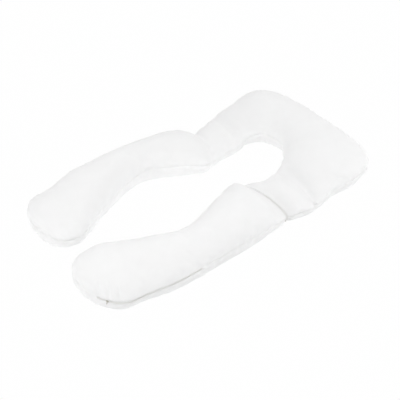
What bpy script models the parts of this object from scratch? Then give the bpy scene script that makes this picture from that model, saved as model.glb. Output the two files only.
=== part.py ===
"""A U-shaped body pillow lying flat, with one leg that zips off. Blender 4.5; metres, +Z up.

+X runs from the legs' open ends to the head, +Y to the fixed leg. The origin is on the floor at the
middle of the length and width. Each of the two pillows is a top and a bottom panel of cotton, sewn
together all round at mid height and stuffed. So a pillow is a loft of upright cross-sections, each
between a point on its inner edge and a point on its outer edge, with the seam as a shallow groove.
"""

import math
from collections import namedtuple

import bmesh
import bpy
from mathutils import Matrix, Vector

# Cross-section: across runs from -1 at the inner edge to 1 at the outer edge
SEAM_SHARE = 0.48  # the seam's height, as a share of the crown's
SIDE_FORM = 2.0  # exponents of the rounded forms: 2 is an ellipse, more is squarer
TOP_FORM = 2.0
BOTTOM_FORM = 2.2
TOP_STEPS = 12
BOTTOM_STEPS = 4
FLAT_SHARE = 0.50  # how much of the underside's width lies flat on the floor
SEAM_DEPTH = 0.003
GROOVE_POINTS = 4
LIP_LEVEL = 0.07  # the groove's lips and floor above and below the seam, as shares of the crown's rise
FLOOR_LEVEL = 0.04

STEP_ALONG = 0.024  # the usual distance between cross-sections
CLEAR_OF_CLOSE = STEP_ALONG / 3  # an even step nearer than this to a crease's close ones is left out
TIP_STEPS = 8
TIP_LAST_TURN = math.radians(86)  # the last slice of a tip, just short of the sewn line at its end
TIP_SIDE_FORM = 4.0

# The joint between the neck and the leg that zips off
JOINT_X = 0.160
JOINT_SLANT = 0.031  # how much nearer to the head its outer end is than its inner end
JOINT_GAP = 0.0006
CREASE_FLOOR = 0.004  # half the width of a crease's flat floor
CREASE_STEPS = (0.0, 0.004, 0.009, 0.016, 0.025)

# The zips: a moulded coil that lies in the joint's crease and another in the leg's side seam
COIL_WIDTH = 0.005
COIL_THICKNESS = 0.0014
SEATING = 0.0004  # the air between a zip and the cloth it is sewn to
POINTS_UNDER = 3  # how many points of the ring the joining zip takes in below the seam
COVER_ZIP_START = -0.715
COVER_ZIP_END = -0.295

# Each zip's slider: its body, the bridge on it and the pull that hangs from the bridge
SLIDER_SIZE = (0.010, 0.0075, 0.0030)
SLIDER_ROUNDING = 0.0008
ROUNDING_STEPS = 2
SLIDER_GAP = 0.0007  # clears the bow of a curved zip under the slider's straight body
BRIDGE_SIZE = (0.0060, 0.0022, 0.0016)
PULL_SIZE = (0.018, 0.0045, 0.0012)
PULL_BEHIND = 0.1 * PULL_SIZE[0]  # how far the pull reaches back past the bridge it hangs from
JOINING_PULL_HANG = math.radians(-20)
COVER_PULL_HANG = math.radians(75)

SHARP_EDGE = math.radians(40)  # faces that meet more sharply than this aren't shaded as one
WHITE_COTTON = ("white cotton", (0.90, 0.90, 0.89, 1.0), 0.9, 0.0)
ZIP_NYLON = ("zip nylon", (0.83, 0.83, 0.82, 1.0), 0.5, 0.0)
SLIDER_METAL = ("slider metal", (0.45, 0.45, 0.46, 1.0), 0.35, 1.0)

Section = namedtuple("Section", "inner_x inner_y outer_x outer_y crown")
Slice = namedtuple("Slice", "inner outer low seam high")
Tip = namedtuple("Tip", "length form lean")
Crease = namedtuple("Crease", "row reach inner crown outer")

# The main pillow: the fixed leg from the root of its tip, its neck, the head and the other neck
MAIN_ROWS = [
    Section(-0.595, 0.056, -0.595, 0.375, 0.151),
    Section(-0.423, 0.136, -0.423, 0.399, 0.172),
    Section(-0.162, 0.226, -0.189, 0.394, 0.171),
    Section(-0.009, 0.163, -0.009, 0.384, 0.169),
    Section(0.099, 0.106, 0.109, 0.381, 0.146),
    Section(0.165, 0.120, 0.196, 0.345, 0.112),
    Section(0.236, 0.132, 0.255, 0.344, 0.104),
    Section(0.317, 0.134, 0.333, 0.372, 0.098),
    Section(0.375, 0.148, 0.445, 0.382, 0.130),
    Section(0.432, 0.120, 0.605, 0.375, 0.164),
    Section(0.460, 0.070, 0.697, 0.286, 0.155),
    Section(0.467, 0.006, 0.734, 0.001, 0.155),
    Section(0.433, -0.038, 0.712, -0.298, 0.167),
    Section(0.402, -0.074, 0.599, -0.365, 0.165),
    Section(0.352, -0.100, 0.445, -0.364, 0.137),
    Section(0.320, -0.102, 0.333, -0.381, 0.099),
    Section(0.245, -0.120, 0.240, -0.373, 0.112),
    Section(JOINT_X, -0.078, JOINT_X + JOINT_SLANT, -0.358, 0.086),
]
MAIN_TIP = Tip(0.109, 2.3, -0.012)
# The leg that zips off, from the joint to the root of its tip
LEG_ROWS = [
    Section(JOINT_X, -0.078, JOINT_X + JOINT_SLANT, -0.358, 0.086),
    Section(0.095, -0.079, 0.095, -0.379, 0.154),
    Section(-0.015, -0.123, -0.015, -0.392, 0.183),
    Section(-0.250, -0.190, -0.215, -0.393, 0.171),
    Section(-0.415, -0.125, -0.415, -0.397, 0.172),
    Section(-0.602, -0.031, -0.602, -0.366, 0.151),
]
LEG_TIP = Tip(0.134, 2.0, 0.039)

# Where the cloth draws in, by row, and how deep at the inner edge, the crown and the outer edge
MAIN_CREASES = [
    Crease(5, 0.070, 0.001, 0.006, 0.016),
    Crease(7, 0.050, 0.002, 0.004, 0.001),
    Crease(15, 0.050, 0.002, 0.005, 0.004),
    Crease(17, 0.030, 0.001, 0.002, 0.012),
]
LEG_CREASES = [Crease(0, 0.030, 0.001, 0.002, 0.012)]


def clear_scene():
    for thing in list(bpy.data.objects):
        bpy.data.objects.remove(thing, do_unlink=True)


def material(name, colour, roughness, metallic):
    made = bpy.data.materials.new(name)
    made.use_nodes = True
    shader = made.node_tree.nodes["Principled BSDF"]
    shader.inputs["Base Color"].default_value = colour
    shader.inputs["Roughness"].default_value = roughness
    shader.inputs["Metallic"].default_value = metallic
    return made


def add_object(name, bm, finish, collection):
    """The finished mesh as an object of this name, with its faces turned outwards."""
    bmesh.ops.recalc_face_normals(bm, faces=bm.faces)
    mesh = bpy.data.meshes.new(name)
    bm.to_mesh(mesh)
    bm.free()
    mesh.shade_smooth()
    mesh.set_sharp_from_angle(angle=SHARP_EDGE)
    mesh.materials.append(finish)
    made = bpy.data.objects.new(name, mesh)
    collection.objects.link(made)
    return made


def travel(rows):
    """How far along the pillow each row lies, by the mean path of its inner and outer points."""
    far = [0.0]
    for a, b in zip(rows, rows[1:]):
        inner = math.hypot(b.inner_x - a.inner_x, b.inner_y - a.inner_y)
        outer = math.hypot(b.outer_x - a.outer_x, b.outer_y - a.outer_y)
        far.append(far[-1] + (inner + outer) / 2)
    return far


def row_slopes(rows, far):
    """Each column's slope at each row. At both ends only X goes on, so the run leaves them straight."""
    slopes = []
    for i in range(len(rows)):
        low, high = max(i - 1, 0), min(i + 1, len(rows) - 1)
        span = far[high] - far[low]
        slope = [(b - a) / span for a, b in zip(rows[low], rows[high])]
        if i in (0, len(rows) - 1):
            slope = [slope[0], 0.0, slope[2], 0.0, 0.0]
        slopes.append(slope)
    return slopes


def section_at(rows, far, slopes, place):
    """The cross-section this far along, on the smooth curve through the rows."""
    i = 0
    while i < len(rows) - 2 and far[i + 1] <= place:
        i += 1
    span = far[i + 1] - far[i]
    t = (place - far[i]) / span
    values = []
    for k in range(5):
        start, end = rows[i][k], rows[i + 1][k]
        leave, arrive = slopes[i][k] * span, slopes[i + 1][k] * span
        values.append(
            start * (2 * t**3 - 3 * t**2 + 1)
            + leave * (t**3 - 2 * t**2 + t)
            + end * (3 * t**2 - 2 * t**3)
            + arrive * (t**3 - t**2)
        )
    return Section(*values)


def station_places(length, crease_places):
    """Even steps along the pillow, with closer ones on both sides of each crease."""
    close = set()
    for middle in crease_places:
        for away in CREASE_STEPS:
            close |= {middle - away, middle + away}
    close = {place for place in close if 0.0 <= place <= length}
    steps = round(length / STEP_ALONG)
    even = [length * n / steps for n in range(steps + 1)]
    clear = [place for place in even if all(abs(place - c) > CLEAR_OF_CLOSE for c in close)]
    return sorted(close | set(clear) | {0.0, length})


def draw_in(section, place, creases, far):
    """The cross-section as a slice, its edges and crown drawn in by the creases near it."""
    inner = Vector((section.inner_x, section.inner_y))
    outer = Vector((section.outer_x, section.outer_y))
    across = (outer - inner).normalized()
    low, high = 0.0, section.crown
    for crease in creases:
        away = abs(place - far[crease.row]) - CREASE_FLOOR
        share = max(0.0, 1.0 - max(0.0, away) / crease.reach) ** 2
        inner += across * crease.inner * share
        outer -= across * crease.outer * share
        low += crease.crown * share
        high -= crease.crown * share
    return Slice(inner, outer, low, section.crown * SEAM_SHARE, high)


def body_slices(rows, creases):
    far = travel(rows)
    slopes = row_slopes(rows, far)
    places = station_places(far[-1], [far[crease.row] for crease in creases])
    return [draw_in(section_at(rows, far, slopes, p), p, creases, far) for p in places]


def tip_slices(root, tip):
    """Slices from the root of a leg's tip to its end, narrowing and thinning to the seam."""
    middle = (root.inner + root.outer) / 2
    half = (root.outer - root.inner) / 2
    made = []
    for n in range(1, TIP_STEPS + 1):
        turn = TIP_LAST_TURN * n / TIP_STEPS
        along = math.sin(turn) ** (2 / tip.form)
        wide = math.cos(turn) ** (2 / tip.form)
        thick = (1 - along**TIP_SIDE_FORM) ** (1 / TIP_SIDE_FORM)
        centre = middle + Vector((-tip.length * along, 0.0))
        centre -= half.normalized() * tip.lean * along**2
        made.append(
            Slice(
                centre - half * wide,
                centre + half * wide,
                root.seam + (root.low - root.seam) * thick,
                root.seam,
                root.seam + (root.high - root.seam) * thick,
            )
        )
    return made


def outline_of_section():
    """(across, level) round a cross-section from the inner edge: 1 is the crown, -1 the underside.

    The points of the seam's groove on each edge are left out.
    """
    upper, lower = [], []
    for n in range(1, TOP_STEPS):
        turn = math.pi * n / TOP_STEPS
        side = math.copysign(abs(math.cos(turn)) ** (2 / SIDE_FORM), -math.cos(turn))
        upper.append((side, math.sin(turn) ** (2 / TOP_FORM)))
    for n in range(1, BOTTOM_STEPS + 1):
        turn = math.pi / 2 * n / BOTTOM_STEPS
        side = FLAT_SHARE + (1 - FLAT_SHARE) * math.cos(turn) ** (2 / BOTTOM_FORM)
        lower.append((side, -(math.sin(turn) ** (2 / BOTTOM_FORM))))
    mirrored = [(-side, level) for side, level in reversed(lower)]
    return upper, lower + [(0.0, -1.0)] + mirrored


UPPER, LOWER = outline_of_section()
# Where the crown and the outer edge's two lips come in a ring of points
CROWN = GROOVE_POINTS + TOP_STEPS // 2 - 1
UPPER_LIP = GROOVE_POINTS + len(UPPER)
LOWER_LIP = UPPER_LIP + GROOVE_POINTS - 1


def inward(slices, i, edge):
    """The level direction into the pillow, square to the line of its inner or outer edge.

    Along the slices the inner edge is always on the right hand and the outer edge on the left.
    """
    before, after = slices[max(i - 1, 0)], slices[min(i + 1, len(slices) - 1)]
    along = (getattr(after, edge) - getattr(before, edge)).normalized()
    left = Vector((-along.y, along.x))
    return left if edge == "inner" else -left


def ring_of(slices, i):
    """The points of one slice, in order: inner groove, over the crown, outer groove, underside."""
    cut = slices[i]
    middle, half = (cut.inner + cut.outer) / 2, (cut.outer - cut.inner) / 2
    rise, drop = cut.high - cut.seam, cut.seam - cut.low

    def groove(edge):
        """The seam's groove at one edge, from its lower lip up to its upper lip."""
        lip = getattr(cut, edge)
        floor = lip + inward(slices, i, edge) * SEAM_DEPTH
        return [
            Vector((*lip, cut.seam - LIP_LEVEL * drop)),
            Vector((*floor, cut.seam - FLOOR_LEVEL * drop)),
            Vector((*floor, cut.seam + FLOOR_LEVEL * rise)),
            Vector((*lip, cut.seam + LIP_LEVEL * rise)),
        ]

    def panel(points):
        reach = [(middle + half * side, level * (rise if level > 0 else drop)) for side, level in points]
        return [Vector((*place, cut.seam + height)) for place, height in reach]

    return groove("inner") + panel(UPPER) + groove("outer")[::-1] + panel(LOWER)


def sew_end(bm, ring):
    """Closes a tip: each point on the inner side is joined to the one facing it on the outer side."""
    for n in range(len(ring) // 2):
        inner = ring[(CROWN - n) % len(ring)], ring[(CROWN - n - 1) % len(ring)]
        outer = ring[(CROWN + n + 1) % len(ring)], ring[(CROWN + n) % len(ring)]
        bm.faces.new(list(dict.fromkeys(inner + outer)))


def skin(slices, sewn_first, sewn_last):
    """One closed mesh over the slices. An end that isn't sewn is a flat face."""
    bm = bmesh.new()
    rings = []
    for i in range(len(slices)):
        rings.append([bm.verts.new(point) for point in ring_of(slices, i)])
    count = len(rings[0])
    for a, b in zip(rings, rings[1:]):
        for k in range(count):
            m = (k + 1) % count
            bm.faces.new((a[k], a[m], b[m], b[k]))
    for ring, sewn in ((rings[0], sewn_first), (rings[-1], sewn_last)):
        if sewn:
            sew_end(bm, ring)
        else:
            bm.faces.new(ring)
    return bm


def shifted(cut, x):
    away = Vector((x, 0.0))
    return cut._replace(inner=cut.inner + away, outer=cut.outer + away)


def main_slices():
    body = body_slices(MAIN_ROWS, MAIN_CREASES)
    tip = tip_slices(body[0], MAIN_TIP)
    body[-1] = shifted(body[-1], JOINT_GAP / 2)
    return tip[::-1] + body


def leg_slices():
    body = body_slices(LEG_ROWS, LEG_CREASES)
    tip = tip_slices(body[-1], LEG_TIP)
    body[0] = shifted(body[0], -JOINT_GAP / 2)
    return body + tip


def square_to(line, level):
    """Each point's outward direction: square to the line and to the level direction across it."""
    made = []
    for i in range(len(line)):
        along = line[min(i + 1, len(line) - 1)] - line[max(i - 1, 0)]
        made.append(along.cross(level).normalized())
    return made


def zip_strip(name, line, level, finish, collection):
    """A zip's closed coil along the points of a groove's floor, level being its own width's way."""
    bm = bmesh.new()
    rows = []
    for point, out in zip(line, square_to(line, level)):
        middle = point + out * (SEATING + COIL_THICKNESS / 2)
        rows.append([bm.verts.new(middle + level * side * COIL_WIDTH / 2) for side in (-1, 1)])
    for a, b in zip(rows, rows[1:]):
        bm.faces.new((a[0], a[1], b[1], b[0]))
    strip = add_object(name, bm, finish, collection)
    solid = strip.modifiers.new("thickness", "SOLIDIFY")
    solid.thickness = COIL_THICKNESS
    solid.offset = 0.0
    solid.use_even_offset = True


def joining_zip_line():
    """From the crown of the joint, over the outer edge and down to just above the floor.

    With it comes the level direction square to the joint, towards the head.
    """
    slices = leg_slices()
    ring = ring_of(slices, 0)
    points = ring[CROWN : UPPER_LIP + 1] + ring[LOWER_LIP : LOWER_LIP + POINTS_UNDER]
    across = (slices[0].outer - slices[0].inner).normalized()
    return [point + Vector((JOINT_GAP / 2, 0, 0)) for point in points], Vector((-across.y, across.x, 0))


def cover_zip_line():
    """The floor of the leg's outer side seam, between the zip's two ends."""
    slices = leg_slices()
    points = []
    for i, cut in enumerate(slices):
        if COVER_ZIP_START <= cut.outer.x <= COVER_ZIP_END:
            floor = cut.outer + inward(slices, i, "outer") * SEAM_DEPTH
            points.append(Vector((*floor, cut.seam)))
    return points


def block(size, place):
    """A box of this size round this place."""
    bm = bmesh.new()
    bmesh.ops.create_cube(bm, size=1.0)
    for corner in bm.verts:
        corner.co = Vector([c * length for c, length in zip(corner.co, size)]) + Vector(place)
    return bm


def zip_slider(name, seat, out, along, hang, finish, collection, tools):
    """A slider on its zip, with a flat pull that hangs from its bridge at this angle.

    It is drawn lying on the floor with its nose to +X, then turned so that +Z is the way out of
    the cloth and +X the way along the zip.
    """
    across = out.cross(along).normalized()
    frame = Matrix((along, across, out)).transposed().to_4x4()
    frame.translation = seat + out * (SEATING + COIL_THICKNESS + SLIDER_GAP)
    body_height = SLIDER_SIZE[2]
    body = add_object(name, block(SLIDER_SIZE, (0, 0, body_height / 2)), finish, collection)
    rounding = body.modifiers.new("rounding", "BEVEL")
    rounding.width = SLIDER_ROUNDING
    rounding.segments = ROUNDING_STEPS
    bridge_place = (0, 0, body_height + BRIDGE_SIZE[2] / 2 - SLIDER_ROUNDING / 2)
    bridge = add_object(name + ".bridge", block(BRIDGE_SIZE, bridge_place), finish, tools)
    pull = add_object(name + ".pull", block(PULL_SIZE, (PULL_SIZE[0] / 2, 0, 0)), finish, tools)
    pull.matrix_world = (
        frame
        @ Matrix.Translation((-PULL_BEHIND, 0, bridge_place[2]))
        @ Matrix.Rotation(hang, 4, "Z")
    )
    body.matrix_world = bridge.matrix_world = frame
    for piece in (bridge, pull):
        piece.hide_render = True
        piece.display_type = "WIRE"
        join = body.modifiers.new("join", "BOOLEAN")
        join.operation = "UNION"
        join.object = piece


def main():
    clear_scene()
    parts = bpy.data.collections.new("body pillow")
    tools = bpy.data.collections.new("joined shapes")
    for collection in (parts, tools):
        bpy.context.scene.collection.children.link(collection)
    cotton, nylon, metal = (material(*each) for each in (WHITE_COTTON, ZIP_NYLON, SLIDER_METAL))

    add_object("main_pillow", skin(main_slices(), True, False), cotton, parts)
    add_object("leg_pillow", skin(leg_slices(), False, True), cotton, parts)

    line, level = joining_zip_line()
    zip_strip("joining_zip", line, level, nylon, parts)
    seat, out = line[-2], square_to(line, level)[-2]
    along = (line[-1] - line[-3]).normalized()
    zip_slider("joining_zip_slider", seat, out, along, JOINING_PULL_HANG, metal, parts, tools)

    line, level = cover_zip_line(), Vector((0, 0, -1))
    zip_strip("cover_zip", line, level, nylon, parts)
    seat, out = line[-2], square_to(line, level)[-2]
    along = (line[-1] - line[-3]).normalized()
    zip_slider("cover_zip_slider", seat, out, along, COVER_PULL_HANG, metal, parts, tools)


main()
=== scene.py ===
"""The looks of a U-shaped body pillow: two stuffed cotton pillows, one of them on a zip.

Metres, +Z up. +X runs from the legs' open ends to the head, and +Y to the fixed leg.
"""

import math
from collections import namedtuple

import bmesh
import bpy
import numpy as np
from mathutils import Matrix, Vector, noise


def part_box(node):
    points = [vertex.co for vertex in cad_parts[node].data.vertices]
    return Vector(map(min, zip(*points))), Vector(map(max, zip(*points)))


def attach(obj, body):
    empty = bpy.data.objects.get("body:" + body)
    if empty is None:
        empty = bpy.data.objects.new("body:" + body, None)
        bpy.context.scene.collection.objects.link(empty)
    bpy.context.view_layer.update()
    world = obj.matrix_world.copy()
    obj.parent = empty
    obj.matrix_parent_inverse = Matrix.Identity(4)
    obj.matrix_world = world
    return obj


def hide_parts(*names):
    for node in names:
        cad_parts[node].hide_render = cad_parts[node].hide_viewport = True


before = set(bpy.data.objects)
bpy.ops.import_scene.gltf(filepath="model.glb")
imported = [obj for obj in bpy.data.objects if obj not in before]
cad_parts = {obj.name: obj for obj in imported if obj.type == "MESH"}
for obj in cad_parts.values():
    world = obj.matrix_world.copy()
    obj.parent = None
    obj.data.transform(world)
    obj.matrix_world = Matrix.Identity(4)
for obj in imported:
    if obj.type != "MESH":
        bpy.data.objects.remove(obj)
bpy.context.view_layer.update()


# ---------------- main pillow
# The head, both necks and the fixed leg: a top and a bottom panel of white brushed cotton, sewn
# together all round at mid height, turned right side out and packed hard with polyester filling.
# The cloth draws in at the seam, gathers and puckers beside it, and sinks where stuffing is thin.

Row = namedtuple("Row", "inner_x inner_y outer_x outer_y crown")
Tip = namedtuple("Tip", "length form lean")
Crease = namedtuple("Crease", "row reach inner crown outer")
Fold = namedtuple("Fold", "start_x start_y end_x end_y start_depth end_depth half_width")

JOINT_X = 0.160  # where the zip-off leg meets the neck, at its inner edge
JOINT_SLANT = 0.031  # how much nearer to the head the joint's outer end is
JOINT_GAP = 0.0002  # the two pillows' ends lie against each other there

# Cross-sections on the way round, each from a point on the inner edge to one on the outer edge
JOINT_ROW = Row(JOINT_X, -0.078, JOINT_X + JOINT_SLANT, -0.358, 0.086)
MAIN_ROWS = [
    Row(-0.595, 0.056, -0.595, 0.375, 0.151),
    Row(-0.423, 0.136, -0.423, 0.399, 0.172),
    Row(-0.162, 0.226, -0.189, 0.394, 0.171),
    Row(-0.009, 0.163, -0.009, 0.384, 0.169),
    Row(0.099, 0.106, 0.109, 0.381, 0.146),
    Row(0.165, 0.120, 0.196, 0.345, 0.112),
    Row(0.236, 0.132, 0.255, 0.344, 0.104),
    Row(0.317, 0.134, 0.333, 0.372, 0.098),
    Row(0.375, 0.148, 0.445, 0.382, 0.130),
    Row(0.432, 0.120, 0.605, 0.375, 0.164),
    Row(0.460, 0.070, 0.697, 0.286, 0.155),
    Row(0.467, 0.006, 0.734, 0.001, 0.155),
    Row(0.433, -0.038, 0.712, -0.298, 0.167),
    Row(0.402, -0.074, 0.599, -0.365, 0.165),
    Row(0.352, -0.100, 0.445, -0.364, 0.137),
    Row(0.320, -0.102, 0.333, -0.381, 0.099),
    Row(0.245, -0.120, 0.240, -0.373, 0.112),
    JOINT_ROW,
]
MAIN_TIP = Tip(0.109, 2.3, -0.012)
MAIN_CREASES = [
    Crease(5, 0.070, 0.001, 0.006, 0.016),
    Crease(7, 0.050, 0.002, 0.004, 0.001),
    Crease(15, 0.050, 0.002, 0.005, 0.004),
    Crease(17, 0.030, 0.001, 0.002, 0.012),
]
CREASE_SOFTNESS = 0.006  # how widely the bottom of a crease is rounded

SEAM_SHARE = 0.48  # the seam's height, as a share of the crown's
SIDE_FORM = 2.0  # exponents of the rounded forms: 2 is an ellipse, more is squarer
TOP_FORM = 2.0
BOTTOM_FORM = 2.2
TIP_SIDE_FORM = 4.0
FLAT_SHARE = 0.50  # how much of the underside's width lies flat on the floor

STEP_ALONG = 0.0052
ACROSS_TOP = 76  # steps over each panel between the close ones beside its seams
ACROSS_BOTTOM = 56
BESIDE_SEAM = [0.0, 0.0009, 0.0020, 0.0034, 0.0052, 0.0076, 0.0106, 0.0143, 0.0188]
NARROW_PANEL = 0.11  # a panel narrower than this has the close steps drawn in with it
PROFILE_STEPS = 360  # how finely a panel's curve is measured before those steps are laid on it
OUTLINE_STEPS = 2000  # and a leg's rounded end
LAST_TURN = math.radians(89.8)  # just short of the point where it would close


def unit(ways):
    return ways / np.linalg.norm(ways, axis=-1, keepdims=True)


def hermite(rows, steps):
    """Rows at even steps on a smooth curve through these, how far along they lie, and how far these do."""
    table = np.array(rows)
    inner = np.linalg.norm(np.diff(table[:, 0:2], axis=0), axis=1)
    outer = np.linalg.norm(np.diff(table[:, 2:4], axis=0), axis=1)
    far = np.concatenate([[0], np.cumsum((inner + outer) / 2)])
    slopes = np.empty_like(table)
    slopes[1:-1] = (table[2:] - table[:-2]) / (far[2:] - far[:-2])[:, None]
    for end, before, after in ((0, 0, 1), (-1, -2, -1)):
        slopes[end] = (table[after] - table[before]) / (far[after] - far[before])
        slopes[end, [1, 3, 4]] = 0.0  # an end is left straight along X
    place = np.linspace(0.0, far[-1], steps + 1)
    at = np.clip(np.searchsorted(far, place, side="right") - 1, 0, len(far) - 2)
    span = (far[at + 1] - far[at])[:, None]
    t = (place - far[at])[:, None] / span
    smooth = (
        table[at] * (2 * t**3 - 3 * t**2 + 1)
        + slopes[at] * span * (t**3 - 2 * t**2 + t)
        + table[at + 1] * (3 * t**2 - 2 * t**3)
        + slopes[at + 1] * span * (t**3 - t**2)
    )
    return smooth, place, far


Slices = namedtuple("Slices", "inner outer low seam high")


def body_slices(rows, creases):
    """Cross-sections of the pillow's body at even steps, drawn in by the creases near them."""
    smooth, place, far = hermite(rows, round(hermite(rows, 1)[2][-1] / STEP_ALONG))
    inner, outer, crown = smooth[:, 0:2].copy(), smooth[:, 2:4].copy(), smooth[:, 4]
    across = unit(outer - inner)
    low, high = np.zeros_like(crown), crown.copy()
    for crease in creases:
        away = np.hypot(place - far[crease.row], CREASE_SOFTNESS) - CREASE_SOFTNESS
        share = np.maximum(0.0, 1 - away / crease.reach) ** 2
        inner += across * (crease.inner * share)[:, None]
        outer -= across * (crease.outer * share)[:, None]
        low += crease.crown * share
        high -= crease.crown * share
    return Slices(inner, outer, low, crown * SEAM_SHARE, high)


def tip_slices(root, tip):
    """Cross-sections from a leg's last one to its rounded end, at even steps along its outline."""
    middle, half = (root.inner + root.outer) / 2, (root.outer - root.inner) / 2
    width = np.linalg.norm(half)
    turn = np.linspace(0, LAST_TURN, OUTLINE_STEPS)
    along, wide = np.sin(turn) ** (2 / tip.form), np.cos(turn) ** (2 / tip.form)
    outline = np.hypot(np.diff(along) * tip.length, np.diff(wide) * width)
    gone = np.concatenate([[0], np.cumsum(outline)])
    even = np.linspace(0, gone[-1], round(gone[-1] / STEP_ALONG) + 1)[1:]
    along, wide = np.interp(even, gone, along), np.interp(even, gone, wide)
    thick = (1 - along**TIP_SIDE_FORM) ** (1 / TIP_SIDE_FORM)
    centre = middle + np.outer(-tip.length * along, (1, 0)) - np.outer(along**2, half / width) * tip.lean
    return Slices(
        centre - np.outer(wide, half),
        centre + np.outer(wide, half),
        root.seam + (root.low - root.seam) * thick,
        np.full_like(thick, root.seam),
        root.seam + (root.high - root.seam) * thick,
    )


def joined(first, second):
    return Slices(*(np.concatenate(pair) for pair in zip(first, second)))


def picked(slices, which):
    return Slices(*(column[which] for column in slices))


def panel_profile():
    """(across, level) over the top panel, and under the bottom one, from edge to edge."""
    turn = np.linspace(0, math.pi, PROFILE_STEPS + 1)
    side = -np.sign(np.cos(turn)) * abs(np.cos(turn)) ** (2 / SIDE_FORM)
    top = side, np.sin(turn) ** (2 / TOP_FORM)
    quarter = np.linspace(0, math.pi / 2, PROFILE_STEPS // 3)
    side = FLAT_SHARE + (1 - FLAT_SHARE) * np.cos(quarter) ** (2 / BOTTOM_FORM)
    level = -np.sin(quarter) ** (2 / BOTTOM_FORM)
    flat = np.linspace(FLAT_SHARE, -FLAT_SHARE, PROFILE_STEPS // 4)[1:-1]
    bottom = np.concatenate([side, flat, -side[::-1]]), np.concatenate([level, 0 * flat - 1, level[::-1]])
    return top, bottom


def steps_over(lengths, count):
    """Distances across each panel: close steps beside both seams and even ones between."""
    made = []
    for length in lengths:
        close = np.array(BESIDE_SEAM) * min(1.0, length / NARROW_PANEL)
        even = np.linspace(close[-1], length - close[-1], count + 1)[1:-1]
        made.append(np.concatenate([close, even, length - close[::-1]]))
    return np.array(made)


def outward(edge_line, other_line):
    """The level direction out of the pillow, square to the line of one of its edges."""
    along = unit(np.gradient(edge_line, axis=0))
    square = np.stack([along[:, 1], -along[:, 0]], axis=1)
    away = edge_line - other_line
    return square * np.sign((square * away).sum(1))[:, None]


Cloth = namedtuple("Cloth", "points cut from_seam edge top")


def cloth_over(slices):
    """The pillow's skin as a grid of points, a row of them round each cross-section.

    With each point come its place in the flat cut panel, its distance from the nearest seam, which
    edge that is (-1 inner, 1 outer) and whether it is on the top panel. A ring runs from the inner
    seam over the top to the outer seam and back underneath.
    """
    middle, half = (slices.inner + slices.outer) / 2, (slices.outer - slices.inner) / 2
    width = np.linalg.norm(half, axis=1)
    across = half / width[:, None]
    rings = []
    heights, counts = (slices.high - slices.seam, slices.seam - slices.low), (ACROSS_TOP, ACROSS_BOTTOM)
    for (side, level), height, count, over in zip(panel_profile(), heights, counts, (1, 0)):
        x, z = width[:, None] * side, height[:, None] * level
        steps_far = np.cumsum(np.hypot(np.diff(x), np.diff(z)), axis=1)
        reach = np.concatenate([np.zeros((len(x), 1)), steps_far], axis=1)
        steps = steps_over(reach[:, -1], count)
        x = np.array([np.interp(*each) for each in zip(steps, reach, x)])
        z = np.array([np.interp(*each) for each in zip(steps, reach, z)])
        length = reach[:, -1:]
        from_crown = (steps - length / 2) * (1 if over else -1)
        level_places = middle[:, None] + across[:, None] * x[:, :, None]
        points = np.concatenate([level_places, (slices.seam[:, None] + z)[:, :, None]], axis=2)
        cut = middle[:, None] + across[:, None] * from_crown[:, :, None]
        edge = np.sign(from_crown)
        rings.append([points, cut, np.minimum(steps, length - steps), edge, np.full_like(steps, over)])
    return Cloth(*(np.concatenate([a[:, :-1], b[:, :-1]], axis=1) for a, b in zip(*rings)))


# How far the cloth draws in at a seam, and how that fades over the panels beside it
SEAM_DEPTH = 0.0052
SEAM_SOFTNESS = 0.0042
JOINT_SEAM_FADE = 0.018
LEG_END = (0.60, 0.68)  # how far from the middle a leg starts to round off, and is round
LEG_END_SEAM = 0.35  # the share of the seam's depth that is left there
ZIP_FLOOR_DEPTH = 0.0015  # at a zip the seam opens to a flat floor that the tape lies on
ZIP_FLOOR_HALF = 0.0040
ZIP_LIP = 0.0060  # beside it, over which the cloth rises
ZIP_HOLD = 0.015  # how far from a seam its zip holds the cloth flat

# Gathers: short ridges that run square out of a seam, where its stitches hold the cloth shorter.
# Noise shifts them and varies their strength and reach. Each is a size of lump and an amount.
GATHER_PITCH = 0.021
GATHER_HEIGHT = 0.0007
GATHER_REACH = 0.026
GATHER_RISE = 0.004  # from the seam to where a gather stands full
GATHER_FALL = (1.8, 1.3)  # the rate and the power at which it dies away over its reach
GATHER_SHIFT = (0.07, 5.0)  # radians
GATHER_STRONGER = (0.035, 0.9)
GATHER_LONGER = (0.05, 0.6)
MEAN_STRENGTH = 0.55
STRENGTH_LIMITS = (0.05, 1.4)
UNDER_SHIFT = 1.9  # between the two panels' gathers, in radians
OTHER_EDGE, OTHER_USE = 3.0, 7.0  # steps to where the noise for these is read
TIP_GATHER = 3.6  # how much stronger the gathers are round a leg's end
TIP_ROOT = 0.3  # and the share of that where its rounding begins

# Packed filling: broad soft lumps, and smaller ones between them
LUMPS = [(0.150, 0.0020), (0.055, 0.0005)]  # size and height
LUMP_REACH = 0.03  # from a seam, where they stand full
FLAT_UNDER = 0.03  # the filling lies flat on the floor, and is free to bulge from this high

# Folds laid one by one: where one fades in and out, as shares of its length, and how it is rimmed
FOLD_START, FOLD_END = (-0.25, 0.12), (0.88, 1.25)
FOLD_RIM = 0.55

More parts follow.
